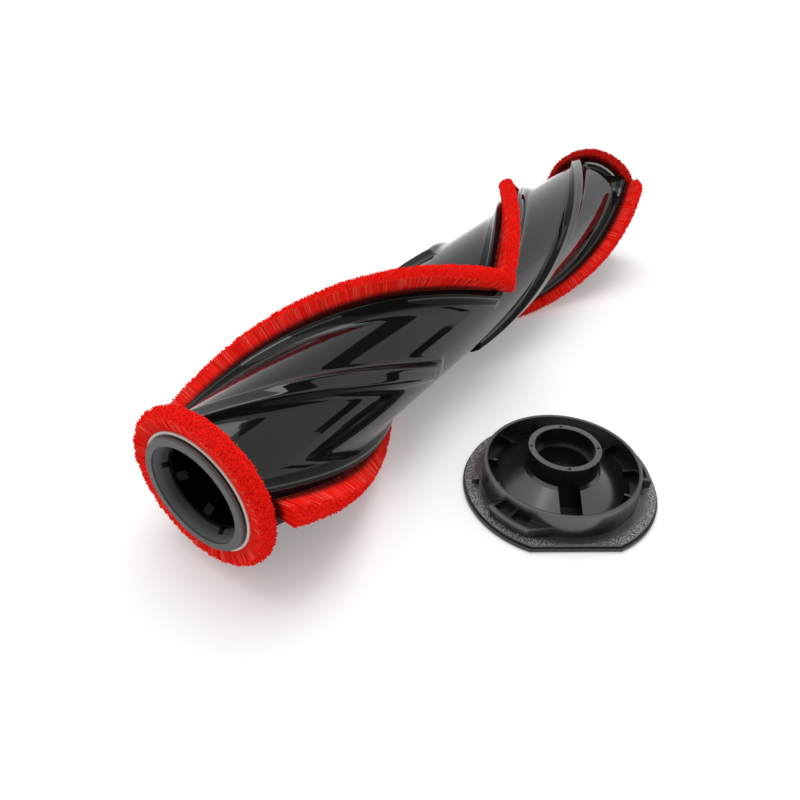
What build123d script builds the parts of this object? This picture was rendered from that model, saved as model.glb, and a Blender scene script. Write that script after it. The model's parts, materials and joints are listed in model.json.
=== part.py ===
"""Roller brush of a stick vacuum cleaner, with its end cap taken off and lying beside it.

The roller lies on its side along X, drive end first, with +Z up. The origin is on the
roller's axis, in the front face of the drive collar. Lengths are millimetres and angles
are degrees. An angle round the roller runs from the top (+Z) towards the front (-Y).
"""
import math
import os

from build123d import *

# Roller: overall sizes
roller_length = 238.8
tube_radius = 16.8
tube_wall = 2.6
seat_gap = 0.05

# Helix: every strip changes hand at the mitre, half way along
mitre_x = 113.1
mitre_angle = 55.1
near_turn_per_mm = 1.408
far_turn_per_mm = 1.422

# Strip channels: raised rails with a T-shaped channel that holds each bristle strip
strip_offsets = {"top": 0.0, "bottom": 180.0}
channel_mouth_width = 5.2
channel_lip = 1.3
channel_rise = 0.3
channel_depth = 1.0
rail_side_wall = 1.1
rail_flare = 1.1
rail_foot_sink = 0.6
rail_skirt = 2.1
rail_rise = 2.5

# Bristle strips: a woven backing that slides in the channel, and the pile on it
strip_clearance = 0.1
pile_side_clearance = 0.15
pile_spread = 0.45
pile_rise = 6.3
pile_shoulder_drop = 1.2
strip_end_gap = 0.3
flat_spot_depth = 0.9

# Plain ribs between the strips: angle from the strips, and how far short of the mitre
# the near and the far half's rib ends (a rib that reaches the mitre doesn't fade)
rib_top_width = 4.4
rib_flare = 2.3
rib_rise = 2.2
rib_fade_length = 9.0
rib_setbacks = {"front": (90.0, 31.6, 0.0), "back": (-90.0, 0.0, 0.0)}

# Bristle rings: a strip wrapped round each end
neck_wall = 1.4
ring_width = 5.4
ring_gap = 0.1
ring_backing_thickness = 0.6
ring_backing_inset = 0.3
ring_pile_inset = 0.2
ring_pile_length = 4.85
ring_pile_shoulder_drop = 1.4

# Far end of the tube, behind the far ring
far_neck_step = 1.8
far_neck_length = 9.8
far_neck_wall = 2.2

# Drive collar: the mouth that the drive goes in by
collar_step = 0.15
collar_flange_thickness = 0.9
collar_edge_round = 0.4
collar_wall = 0.85
mouth_land = 0.5
collar_sleeve_length = 2.9
cone_length = 2.7
cone_taper = 1.9
notch_angles = (-81.0, 39.0, 159.0)
notch_width = 1.8
notch_depth = 1.9
notch_length = 1.7

# Drive socket: the ring of dogs behind the collar, low as splines and then deep
socket_gap = 0.2
socket_length = 26.0
socket_wall = 2.95
socket_floor_thickness = 2.0
dog_count = 6
dog_first_angle = 15.0
dog_thickness = 2.4
spline_reach = 1.9
spline_slope_length = 1.8
spline_length = 8.8
dog_reach = 6.6
dog_slope_length = 5.0
dog_setback = 0.4

# Ball bearing on the stub axle
bearing_bore_radius = 4.0
bearing_outer_radius = 8.0
bearing_width = 5.0
bearing_edge_round = 0.25
inner_ring_wall = 1.3
outer_ring_wall = 1.3
ball_count = 9
ball_radius = 0.95
race_clearance = 0.05
cage_radial_thickness = 0.7
cage_width = 2.5
pocket_clearance = 0.06
shield_thickness = 0.25
shield_inset = 0.25
shield_lap = 0.4
shield_clearance = 0.2

# Far end plug and stub axle
plug_depth = 12.0
plug_end_gap = 2.0
plug_recess_depth = 3.0
plug_rim_wall = 2.4
plug_boss_step = 1.0
plug_web_count = 6
plug_web_thickness = 1.4
bearing_standoff = 1.0
bearing_shoulder_step = 0.1
axle_fit = 0.03
axle_overhang = 2.0
axle_tail = 2.6
axle_chamfer = 0.5

# Retaining ring that keeps the bearing on the axle
clip_thickness = 0.7
clip_groove_depth = 0.35
clip_radial_width = 1.5
clip_opening = 70.0
clip_clearance = 0.05

# End cap: where it lies, and its flange and cover
cap_x = 75.6
cap_y = -58.8
cap_front_angle = -145.3
cover_radius = 26.6
cover_thickness = 1.3
cover_edge_round = 0.4
cover_flat_bite = 2.7
cover_lip = 0.5
cover_flat_lip = 0.4
flange_thickness = 1.2
flange_reach = 5.4

# End cap: cup, cone and hub, with heights from the surface it lies on
cup_wall = 0.95
cup_height = 9.6
cone_foot_gap = 1.25
cone_foot_height = 3.2
cone_top_height = 8.2
cap_cone_wall = 1.5
hub_fit = 0.08
hub_wall = 1.6
hub_height = 14.8
hub_bore_depth = 5.6
hub_ledge = 0.88
hub_floor_thickness = 1.6
hub_hole_radius = 0.4
hub_hole_depth = 1.2
hub_hole_count = 4
hub_hole_angle = -149.0
slot_width = 5.8
slot_bite = 0.6
slot_end_gap = 0.6

# End cap: ribs inside the cup, bayonet lugs outside it and the locating peg
cup_rib_count = 10
cup_rib_first_angle = -115.1
cup_rib_step = 31.5
cup_rib_length = 3.2
cup_rib_thickness = 0.8
cup_rib_height = 5.4
lug_angles = (41.5, 155.3, 296.2)
lug_arc = 29.5
lug_lead_arc = 20.0
lug_reach = 3.2
lug_bottom = 3.0
lug_top = 5.6
lug_wall = 0.9
lug_web_count = 1
peg_angle = 125.0
peg_gap = 2.1
peg_radius = 1.0
peg_height = 1.8

# Radii and widths of the roller that follow from the sizes above
tube_bore_radius = tube_radius - tube_wall
channel_width = channel_mouth_width + 2 * channel_lip
channel_floor = tube_radius + channel_rise
channel_roof = channel_floor + channel_depth
strip_rail_top_width = channel_width + 2 * rail_side_wall
strip_rail_foot_width = strip_rail_top_width + 2 * rail_flare
strip_rail_skirt_width = strip_rail_foot_width + 2 * rail_skirt
strip_rail_foot = tube_radius - rail_foot_sink
strip_rail_height = tube_radius + rail_rise
strip_tip_radius = strip_rail_height + pile_rise
backing_bottom = channel_floor + seat_gap
backing_top = channel_roof - strip_clearance
backing_width = channel_width - 2 * strip_clearance
pile_base_width = channel_mouth_width - 2 * pile_side_clearance
pile_tip_width = channel_mouth_width + 2 * pile_spread
rib_root_width = rib_top_width + 2 * rib_flare
rib_height = tube_radius + rib_rise
ring_seat_radius = tube_bore_radius + neck_wall
ring_backing_width = ring_width - 2 * ring_backing_inset
ring_backing_bottom = ring_seat_radius + seat_gap
ring_backing_top = ring_backing_bottom + ring_backing_thickness
ring_pile_base_width = ring_backing_width - 2 * ring_pile_inset
ring_tip_radius = ring_backing_top + ring_pile_length
far_neck_radius = tube_radius - far_neck_step
far_bore_radius = far_neck_radius - far_neck_wall
sleeve_radius = tube_bore_radius - seat_gap
collar_radius = ring_seat_radius - collar_step
mouth_radius = sleeve_radius - collar_wall
cone_end_radius = mouth_radius - cone_taper
socket_bore_radius = sleeve_radius - socket_wall
spline_tip_radius = socket_bore_radius - spline_reach
dog_tip_radius = socket_bore_radius - dog_reach
inner_ring_radius = bearing_bore_radius + inner_ring_wall
outer_ring_bore_radius = bearing_outer_radius - outer_ring_wall
ball_orbit_radius = (inner_ring_radius + outer_ring_bore_radius) / 2
race_radius = ball_radius + race_clearance
shield_seat_radius = outer_ring_bore_radius + shield_lap
axle_radius = bearing_bore_radius - axle_fit
bearing_shoulder_radius = inner_ring_radius - bearing_shoulder_step
plug_boss_radius = bearing_shoulder_radius + plug_boss_step

# Places along the roller that follow from the sizes above
rest_height = strip_tip_radius - flat_spot_depth
neck_length = ring_width + 2 * ring_gap
tube_near_x = collar_flange_thickness
near_shoulder_x = tube_near_x + neck_length
tube_far_x = roller_length - neck_length
far_shoulder_x = tube_far_x - far_neck_length
far_bore_depth = plug_depth + plug_end_gap
strip_near_x = near_shoulder_x + strip_end_gap
strip_far_x = tube_far_x - strip_end_gap
near_ring_x = tube_near_x + neck_length / 2
far_ring_x = tube_far_x + neck_length / 2
sleeve_end_x = collar_flange_thickness + collar_sleeve_length
cone_end_x = mouth_land + cone_length
socket_x = sleeve_end_x + socket_gap
bearing_x = roller_length + bearing_standoff
bearing_middle_x = bearing_x + bearing_width / 2
clip_x = bearing_x + bearing_width + clip_clearance
axle_start_x = tube_far_x - plug_depth - axle_overhang
axle_end_x = clip_x + clip_thickness + axle_tail

# Sizes of the end cap that follow from the sizes above
flange_top = cover_thickness + flange_thickness
flange_radius = cover_radius - cover_lip
cover_flat_distance = cover_radius - cover_flat_bite
flange_flat_distance = cover_flat_distance - cover_flat_lip
cup_radius = cover_radius - flange_reach
cone_foot_radius = cup_radius - cup_wall - cone_foot_gap
hub_bore_radius = bearing_outer_radius + hub_fit
hub_radius = hub_bore_radius + hub_wall
hub_step_radius = hub_bore_radius - hub_ledge
lug_radius = cup_radius + lug_reach
peg_distance = cup_radius + peg_gap

# How far a cutting tool runs past what it cuts
overshoot = 1.0


def helix_angle(x):
    """Angle round the roller of the strip that is at mitre_angle where its halves meet."""
    if x <= mitre_x:
        return mitre_angle + near_turn_per_mm * (x - mitre_x)
    return mitre_angle - far_turn_per_mm * (x - mitre_x)


def wind(outline, offset, x_from, x_to):
    """Winds an outline, drawn at the top of the roller, round one half of the tube."""
    start = helix_angle(x_from)
    turn = helix_angle(x_to) - start
    plane = Plane(origin=(x_from, 0, 0), x_dir=(0, -1, 0), z_dir=(-1, 0, 0))
    section = Rot(X=start + offset) * (plane * make_face(outline)).face()
    travel = x_to - x_from
    about_travel = turn if travel > 0 else -turn
    return Solid.extrude_linear_with_rotation(section, (x_from, 0, 0), (travel, 0, 0), about_travel)


def block_outline(bottom_width, bottom, top_width, top):
    """Four-sided outline that is symmetrical about the radius through its middle."""
    return Polyline(
        (-bottom_width / 2, bottom),
        (bottom_width / 2, bottom),
        (top_width / 2, top),
        (-top_width / 2, top),
        close=True,
    )


def rail_outline(root):
    """Outline of a strip's rail: steep flanks that run out in a skirt on the tube."""
    return Polyline(
        (-strip_rail_skirt_width / 2, root),
        (strip_rail_skirt_width / 2, root),
        (strip_rail_foot_width / 2, strip_rail_foot),
        (strip_rail_top_width / 2, strip_rail_height),
        (-strip_rail_top_width / 2, strip_rail_height),
        (-strip_rail_foot_width / 2, strip_rail_foot),
        close=True,
    )


def turned(*points):
    """Solid turned about X from (x, radius) points."""
    return revolve(make_face(Polyline(*points, close=True)), Axis.X)


def hollow_cylinder(x_from, x_to, inner, outer):
    """Plain ring about X."""
    return turned((x_from, inner), (x_to, inner), (x_to, outer), (x_from, outer))


def on_radius(angle, solid):
    """Turns a solid, made at the top of the roller, to an angle round it."""
    return Rot(X=angle) * solid


def halves(outline, offset, near_end, far_end):
    """The two windings of one strip or channel, from the mitre to both ends."""
    near = wind(outline, offset, mitre_x, near_end)
    far = wind(outline, offset, mitre_x, far_end)
    return near, far


def plain_rib(offset, x_outer, x_inner):
    """A rib that runs in from an end of the tube, to the mitre or to where it fades out."""
    outline = block_outline(rib_root_width, tube_bore_radius + overshoot / 2, rib_top_width, rib_height)
    rib = wind(outline, offset, x_outer, x_inner)
    if x_inner == mitre_x:
        return rib
    toward = 1 if x_inner > x_outer else -1
    reach = rib_height + overshoot
    fade_x = x_inner - toward * rib_fade_length
    envelope = turned(
        (x_outer, 0),
        (x_outer, reach),
        (fade_x, reach),
        (fade_x, rib_height),
        (x_inner, tube_radius - overshoot),
        (x_inner, 0),
    )
    return rib & envelope


def make_tube():
    """The moulded tube: necks for the rings, rails with channels, and plain ribs."""
    tube = turned(
        (tube_near_x, tube_bore_radius),
        (tube_near_x, ring_seat_radius),
        (near_shoulder_x, ring_seat_radius),
        (near_shoulder_x, tube_radius),
        (far_shoulder_x, tube_radius),
        (far_shoulder_x, far_neck_radius),
        (tube_far_x, far_neck_radius),
        (tube_far_x, far_bore_radius),
        (tube_far_x - far_bore_depth, far_bore_radius),
        (tube_far_x - far_bore_depth, tube_bore_radius),
    )
    rail = rail_outline(tube_bore_radius + overshoot / 2)
    channel = block_outline(channel_width, channel_floor, channel_width, channel_roof)
    mouth = block_outline(
        channel_mouth_width, channel_floor, channel_mouth_width, strip_rail_height + overshoot
    )
    added = []
    removed = []
    for offset in strip_offsets.values():
        added += halves(rail, offset, near_shoulder_x, tube_far_x)
        near_out = near_shoulder_x - overshoot
        far_out = tube_far_x + overshoot
        removed += halves(channel, offset, near_out, far_out)
        removed += halves(mouth, offset, near_out, far_out)
    for offset, near_setback, far_setback in rib_setbacks.values():
        added.append(plain_rib(offset, near_shoulder_x, mitre_x - near_setback))
        added.append(plain_rib(offset, tube_far_x, mitre_x + far_setback))
    for solid in added:
        tube = tube + solid
    for solid in removed:
        tube = tube - solid
    return tube


def make_strip_backings():
    """Woven backing of each half strip."""
    outline = block_outline(backing_width, backing_bottom, backing_width, backing_top)
    backings = {}
    for place, offset in strip_offsets.items():
        near, far = halves(outline, offset, strip_near_x, strip_far_x)
        backings[f"near_{place}_strip_backing"] = near
        backings[f"far_{place}_strip_backing"] = far
    return backings


def make_strip_piles():
    """Pile of each half strip, flattened where the roller lies on it."""
    shoulder = strip_tip_radius - pile_shoulder_drop
    outline = Wire(
        [
            *Polyline(
                (-pile_tip_width / 2, shoulder),
                (-pile_base_width / 2, strip_rail_height),
                (-pile_base_width / 2, backing_top + seat_gap),
                (pile_base_width / 2, backing_top + seat_gap),
                (pile_base_width / 2, strip_rail_height),
                (pile_tip_width / 2, shoulder),
            ).edges(),
            ThreePointArc(
                (pile_tip_width / 2, shoulder),
                (0, strip_tip_radius),
                (-pile_tip_width / 2, shoulder),
            ),
        ]
    )
    below = Pos(mitre_x, 0, -rest_height - strip_tip_radius) * Box(
        2 * roller_length, 4 * strip_tip_radius, 2 * strip_tip_radius
    )
    piles = {}
    for place, offset in strip_offsets.items():
        near, far = halves(outline, offset, strip_near_x, strip_far_x)
        piles[f"near_{place}_strip_pile"] = near - below
        piles[f"far_{place}_strip_pile"] = far - below
    return piles


def make_ring_backing(middle_x):
    """Backing of the strip that is wrapped round one end."""
    half = ring_backing_width / 2
    return hollow_cylinder(middle_x - half, middle_x + half, ring_backing_bottom, ring_backing_top)


def make_ring_pile(middle_x):
    """Pile of an end ring, fanned out towards its round crest."""
    shoulder = ring_tip_radius - ring_pile_shoulder_drop
    base = ring_backing_top + seat_gap
    foot = ring_pile_base_width / 2
    half = ring_width / 2
    outline = [
        *Polyline(
            (middle_x - half, shoulder),
            (middle_x - foot, base),
            (middle_x + foot, base),
            (middle_x + half, shoulder),
        ).edges(),
        ThreePointArc(
            (middle_x + half, shoulder),
            (middle_x, ring_tip_radius),
            (middle_x - half, shoulder),
        ),
    ]
    return revolve(make_face(outline), Axis.X)


def make_drive_collar():
    """Collar with a cone behind its mouth, pressed into the drive end of the tube."""
    collar = turned(
        (0, mouth_radius),
        (0, collar_radius),
        (collar_flange_thickness, collar_radius),
        (collar_flange_thickness, sleeve_radius),
        (sleeve_end_x, sleeve_radius),
        (sleeve_end_x, cone_end_radius),
        (cone_end_x, cone_end_radius),
        (mouth_land, mouth_radius),
    )
    front = collar.edges().filter_by(GeomType.CIRCLE).group_by(SortBy.RADIUS)[-1]
    collar = fillet(front.sort_by(Axis.X)[0], collar_edge_round)
    notch = Pos(sleeve_end_x, 0, cone_end_radius) * Box(
        2 * notch_length, notch_width, 2 * notch_depth
    )
    for angle in notch_angles:
        collar = collar - on_radius(angle, notch)
    return collar


def make_drive_socket():
    """Ring with splines that run back into sloping dogs, which the drive turns the roller by."""
    end_x = socket_x + socket_length
    floor_x = end_x - socket_floor_thickness
    socket = turned(
        (socket_x, socket_bore_radius),
        (socket_x, sleeve_radius),
        (end_x, sleeve_radius),
        (end_x, 0),
        (floor_x, 0),
        (floor_x, socket_bore_radius),
    )
    wall_middle = (socket_bore_radius + sleeve_radius) / 2
    front_x = socket_x + dog_setback
    spline_x = front_x + spline_slope_length
    dog_x = front_x + spline_length
    side = make_face(
        Polyline(
            (front_x, wall_middle),
            (front_x, socket_bore_radius),
            (spline_x, spline_tip_radius),
            (dog_x, spline_tip_radius),
            (dog_x + dog_slope_length, dog_tip_radius),
            (end_x - socket_floor_thickness / 2, dog_tip_radius),
            (end_x - socket_floor_thickness / 2, wall_middle),
            close=True,
        )
    )
    dog = extrude(Plane.XZ * side, dog_thickness / 2, both=True)
    for index in range(dog_count):
        socket = socket + on_radius(dog_first_angle + index * 360 / dog_count, dog)
    return socket


def make_end_plug():
    """Plug in the far end of the tube, with the far ring's seat and the axle's boss."""
    recess_x = roller_length - plug_recess_depth
    rim_bore = ring_seat_radius - plug_rim_wall
    spigot_radius = far_bore_radius - seat_gap
    axle_hole = axle_radius + seat_gap
    plug = turned(
        (tube_far_x - plug_depth, axle_hole),
        (tube_far_x - plug_depth, spigot_radius),
        (tube_far_x, spigot_radius),
        (tube_far_x, ring_seat_radius),
        (roller_length, ring_seat_radius),
        (roller_length, rim_bore),
        (recess_x, rim_bore),
        (recess_x, plug_boss_radius),
        (roller_length, plug_boss_radius),
        (roller_length, bearing_shoulder_radius),
        (bearing_x, bearing_shoulder_radius),
        (bearing_x, axle_hole),
    )
    web_length = ring_seat_radius - plug_rim_wall / 2 - (plug_boss_radius + bearing_shoulder_radius) / 2
    web_middle = ring_seat_radius - plug_rim_wall / 2 - web_length / 2
    web = Pos(roller_length - plug_recess_depth / 2, 0, web_middle) * Box(
        plug_recess_depth, plug_web_thickness, web_length
    )
    for index in range(plug_web_count):
        plug = plug + on_radius(index * 360 / plug_web_count, web)
    return plug


def make_stub_axle():
    """Steel pin in the plug that carries the bearing, grooved for its retaining ring."""
    groove = axle_radius - clip_groove_depth
    groove_end = clip_x + clip_thickness + clip_clearance
    return turned(
        (axle_start_x, 0),
        (axle_start_x, axle_radius - axle_chamfer),
        (axle_start_x + axle_chamfer, axle_radius),
        (clip_x - clip_clearance, axle_radius),
        (clip_x - clip_clearance, groove),
        (groove_end, groove),
        (groove_end, axle_radius),
        (axle_end_x - axle_chamfer, axle_radius),
        (axle_end_x, axle_radius - axle_chamfer),
        (axle_end_x, 0),
    )


def race_cutter():
    """Torus that cuts the ball groove in both rings."""
    return Pos(bearing_middle_x, 0, 0) * Rot(Y=90) * Torus(ball_orbit_radius, race_radius)


def make_inner_ring():
    """Inner ring, on the axle."""
    ring = hollow_cylinder(bearing_x, bearing_x + bearing_width, bearing_bore_radius, inner_ring_radius)
    return ring - race_cutter()


def make_outer_ring():
    """Outer ring, which the end cap's hub holds when the cap is on."""
    ring = hollow_cylinder(
        bearing_x, bearing_x + bearing_width, outer_ring_bore_radius, bearing_outer_radius
    )
    outside = ring.edges().filter_by(GeomType.CIRCLE).group_by(SortBy.RADIUS)[-1]
    ring = fillet(outside, bearing_edge_round) - race_cutter()
    step = shield_inset + shield_thickness
    front_step = hollow_cylinder(
        bearing_x - overshoot, bearing_x + step, inner_ring_radius, shield_seat_radius
    )
    back_step = hollow_cylinder(
        bearing_x + bearing_width - step,
        bearing_x + bearing_width + overshoot,
        inner_ring_radius,
        shield_seat_radius,
    )
    return ring - front_step - back_step


def ball_places():
    """Angle of each ball round the axle."""
    return [index * 360 / ball_count for index in range(ball_count)]


def make_balls():
    """Balls of the bearing."""
    ball = Pos(bearing_middle_x, 0, ball_orbit_radius) * Sphere(ball_radius)
    return Compound(children=[on_radius(angle, ball) for angle in ball_places()])


def make_cage():
    """Cage that spaces the balls."""
    cage = hollow_cylinder(
        bearing_middle_x - cage_width / 2,
        bearing_middle_x + cage_width / 2,
        ball_orbit_radius - cage_radial_thickness / 2,
        ball_orbit_radius + cage_radial_thickness / 2,
    )
    pocket = Pos(bearing_middle_x, 0, ball_orbit_radius) * Sphere(ball_radius + pocket_clearance)
    for angle in ball_places():
        cage = cage - on_radius(angle, pocket)
    return cage


def make_shields():
    """The two shields pressed into the outer ring."""
    inner = inner_ring_radius + shield_clearance
    outer = shield_seat_radius
    front_x = bearing_x + shield_inset
    back_x = bearing_x + bearing_width - shield_inset - shield_thickness
    places = (front_x, back_x)
    return Compound(
        children=[hollow_cylinder(x, x + shield_thickness, inner, outer) for x in places]
    )


def make_retaining_ring():
    """Open ring in the axle's groove."""
    inner = axle_radius - clip_groove_depth + clip_clearance
    ring = hollow_cylinder(clip_x, clip_x + clip_thickness, inner, inner + clip_radial_width)
    reach = inner + clip_radial_width + overshoot
    side = reach * math.tan(math.radians(clip_opening / 2))
    wedge = make_face(Polyline((0, 0), (-side, reach), (side, reach), close=True))
    opening = extrude(Plane.YZ * wedge, clip_thickness + 2 * overshoot)
    return ring - Pos(clip_x - overshoot, 0, 0) * opening


def cap_turned(*points):
    """Solid turned about the cap's own upright axis from (radius, height) points."""
    outline = Plane.XZ * make_face(Polyline(*points, close=True))
    return revolve(outline, Axis.Z)


def cap_point(radius, angle):
    """Point in the cap's plan."""
    turn = math.radians(angle)
    return (radius * math.cos(turn), radius * math.sin(turn))


def cap_flat(distance):
    """Block that cuts the straight front edge of a round plate."""
    block = Pos(distance + cover_radius, 0, 0) * Box(2 * cover_radius, 4 * cover_radius, 4 * cup_height)
    return Rot(Z=cap_front_angle) * block


def place_cap(solid):
    """Sets a piece of the cap down beside the roller."""
    return Pos(cap_x, cap_y, -rest_height) * solid


def make_cap_cover():
    """Outer cover of the end cap, which it lies on."""
    cover = Pos(0, 0, cover_thickness / 2) * Cylinder(cover_radius, cover_thickness)
    cover = cover - cap_flat(cover_flat_distance)
    rim = cover.faces().filter_by(Axis.Z).sort_by(Axis.Z)
    cover = fillet(rim[0].outer_wire().edges(), cover_edge_round)
    return place_cap(cover)


def lug_plan(outer, inner, start, end, lead):
    """Plan of a bayonet lug: an arc with a straight lead-in at its far end."""
    middle = (start + end) / 2
    return make_face(
        [
            ThreePointArc(cap_point(outer, start), cap_point(outer, middle), cap_point(outer, end)),
            Line(cap_point(outer, end), cap_point(inner, end + lead)),
            ThreePointArc(
                cap_point(inner, end + lead),
                cap_point(inner, (start + end + lead) / 2),
                cap_point(inner, start),
            ),
            Line(cap_point(inner, start), cap_point(outer, start)),
        ]
    )


def make_lug(start):
    """Bayonet lug with open pockets between its webs."""
    wall_middle = cup_radius - cup_wall / 2
    plan = lug_plan(lug_radius, wall_middle, start, start + lug_arc, lug_lead_arc)
    lug = Pos(0, 0, lug_bottom) * extrude(plan, lug_top - lug_bottom)
    web_arc = math.degrees(lug_wall / lug_radius)
    pocket_count = lug_web_count + 1
    pocket_arc = (lug_arc - (pocket_count + 1) * web_arc) / pocket_count
    for index in range(pocket_count):
        pocket_start = start + web_arc + index * (pocket_arc + web_arc)
        pocket = lug_plan(
            lug_radius - lug_wall, wall_middle - cup_wall, pocket_start, pocket_start + pocket_arc, 0
        )
        lug = lug - Pos(0, 0, lug_bottom + lug_wall) * extrude(pocket, lug_top)
    return lug


def make_cap_body():
    """Cup, cone, hub and flange of the end cap, moulded in one."""
    cone_root = hub_radius + cap_cone_wall / 2
    body = cap_turned(
        (0, cover_thickness),
        (hub_radius, cover_thickness),
        (hub_radius, cone_top_height - cap_cone_wall),
        (cone_root, cone_top_height - cap_cone_wall),
        (cone_foot_radius, cone_foot_height - cap_cone_wall),
        (cone_foot_radius, cover_thickness),
        (flange_radius, cover_thickness),
        (flange_radius, flange_top),
        (cup_radius, flange_top),
        (cup_radius, cup_height),
        (cup_radius - cup_wall, cup_height),
        (cup_radius - cup_wall, cone_foot_height),
        (cone_foot_radius, cone_foot_height),
        (cone_root, cone_top_height),
        (hub_radius, cone_top_height + cap_cone_wall / 2),
        (hub_radius, hub_height),
        (hub_bore_radius, hub_height),
        (hub_bore_radius, hub_height - hub_bore_depth),
        (hub_step_radius, hub_height - hub_bore_depth),
        (hub_step_radius, cover_thickness + hub_floor_thickness),
        (0, cover_thickness + hub_floor_thickness),
    )
    body = body - (cap_flat(flange_flat_distance) & Pos(0, 0, flange_top / 2) * Box(
        4 * cover_radius, 4 * cover_radius, flange_top
    ))
    slot_start = hub_radius - slot_bite
    slot_length = cup_radius - cup_wall - slot_end_gap - slot_start
    slot_top = cone_top_height + cap_cone_wall
    slot = Pos(slot_start + slot_length / 2, 0, slot_top / 2) * Box(slot_length, slot_width, slot_top)
    body = body - Rot(Z=cap_front_angle) * slot
    wall_middle = cup_radius - cup_wall / 2
    rib_middle = wall_middle - cup_rib_length / 2
    rib_bottom = cone_foot_height - cap_cone_wall / 2
    cup_rib = Pos(rib_middle, 0, (rib_bottom + cup_rib_height) / 2) * Box(
        cup_rib_length, cup_rib_thickness, cup_rib_height - rib_bottom
    )
    for index in range(cup_rib_count):
        body = body + Rot(Z=cup_rib_first_angle + index * cup_rib_step) * cup_rib
    for start in lug_angles:
        body = body + make_lug(start)
    rim_middle = (hub_radius + hub_bore_radius) / 2
    hole = Pos(rim_middle, 0, hub_height) * Cylinder(hub_hole_radius, 2 * hub_hole_depth)
    for index in range(hub_hole_count):
        body = body - Rot(Z=hub_hole_angle + index * 360 / hub_hole_count) * hole
    peg = Pos(*cap_point(peg_distance, peg_angle), flange_top + peg_height / 2) * Cylinder(
        peg_radius, peg_height
    )
    return place_cap(body + peg)


def main():
    """Makes every piece and writes each one to its own file."""
    pieces = {
        "roller_tube": make_tube(),
        **make_strip_backings(),
        **make_strip_piles(),
        "near_ring_backing": make_ring_backing(near_ring_x),
        "near_ring_pile": make_ring_pile(near_ring_x),
        "far_ring_backing": make_ring_backing(far_ring_x),
        "far_ring_pile": make_ring_pile(far_ring_x),
        "drive_collar": make_drive_collar(),
        "drive_socket": make_drive_socket(),
        "far_end_plug": make_end_plug(),
        "stub_axle": make_stub_axle(),
        "bearing_inner_ring": make_inner_ring(),
        "bearing_outer_ring": make_outer_ring(),
        "bearing_balls": make_balls(),
        "bearing_cage": make_cage(),
        "bearing_shields": make_shields(),
        "bearing_retaining_ring": make_retaining_ring(),
        "end_cap_body": make_cap_body(),
        "end_cap_cover": make_cap_cover(),
    }
    os.makedirs("parts", exist_ok=True)
    for name, piece in pieces.items():
        export_step(piece, f"parts/{name}.step")
        print(name, round(piece.volume, 2))


if __name__ == "__main__":
    main()
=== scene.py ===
# %% [markdown]
# # Roller brush of a stick vacuum cleaner
#
# The real thing is a glossy black tube with raised rails. Two red bristle strips wind round it in a V, a
# ring of the same pile closes each end, and the satin end cap lies beside it, taken off.
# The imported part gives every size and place, and this script gives the surfaces that the eye sees.

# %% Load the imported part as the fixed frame
import json
import math

import bmesh
import bpy
import numpy as np
from mathutils import Matrix, Vector
from mathutils.geometry import tessellate_polygon


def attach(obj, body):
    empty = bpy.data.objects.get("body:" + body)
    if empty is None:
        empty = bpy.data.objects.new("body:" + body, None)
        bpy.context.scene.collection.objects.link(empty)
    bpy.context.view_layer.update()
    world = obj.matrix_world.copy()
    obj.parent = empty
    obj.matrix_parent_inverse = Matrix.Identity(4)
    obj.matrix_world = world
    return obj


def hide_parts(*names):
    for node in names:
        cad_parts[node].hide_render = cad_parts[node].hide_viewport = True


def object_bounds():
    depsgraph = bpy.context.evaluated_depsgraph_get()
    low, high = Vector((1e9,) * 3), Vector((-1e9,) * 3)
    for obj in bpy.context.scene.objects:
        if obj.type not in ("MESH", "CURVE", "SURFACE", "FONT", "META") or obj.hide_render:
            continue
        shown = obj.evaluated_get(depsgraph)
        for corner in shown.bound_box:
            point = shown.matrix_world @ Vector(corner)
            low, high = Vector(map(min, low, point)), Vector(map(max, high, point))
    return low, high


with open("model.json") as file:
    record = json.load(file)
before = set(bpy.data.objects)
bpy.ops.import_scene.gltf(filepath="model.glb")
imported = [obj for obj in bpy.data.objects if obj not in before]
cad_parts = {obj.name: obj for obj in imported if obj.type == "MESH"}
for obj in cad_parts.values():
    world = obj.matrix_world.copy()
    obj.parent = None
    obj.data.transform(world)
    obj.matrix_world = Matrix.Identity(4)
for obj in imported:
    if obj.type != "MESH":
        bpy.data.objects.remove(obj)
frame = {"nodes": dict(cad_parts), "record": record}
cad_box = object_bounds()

MM = 0.001
nodes = frame["nodes"]
print("loaded", len(nodes), "pieces")

# %% [markdown]
# ## Camera
#
# A product photo is easiest to match when the camera comes first. Its place and turn were found by fitting
# circles of the roller and the cap to their ellipses, so they are written as a place, a heading, a downward
# pitch and a small roll, with the lens that goes with a 36 mm wide sensor.

# %% Place the camera
CAMERA_PLACE = Vector((-65.54, -101.86, 107.65)) * MM
CAMERA_HEADING = math.radians(34.435)
CAMERA_PITCH = math.radians(35.898)
CAMERA_ROLL = math.radians(-0.096)
SENSOR_WIDTH = 36.0
CAMERA_LENS = 30.65


def camera_axes(heading, pitch, roll):
    """Right, up and back directions of a camera that looks along a heading and down by a pitch."""
    level = Vector((math.cos(heading), math.sin(heading), 0.0))
    ahead = level * math.cos(pitch) - Vector((0, 0, math.sin(pitch)))
    right = ahead.cross(Vector((0, 0, 1))).normalized()
    above = right.cross(ahead)
    turned_right = right * math.cos(roll) + above * math.sin(roll)
    turned_above = above * math.cos(roll) - right * math.sin(roll)
    return turned_right, turned_above, -ahead


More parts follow.
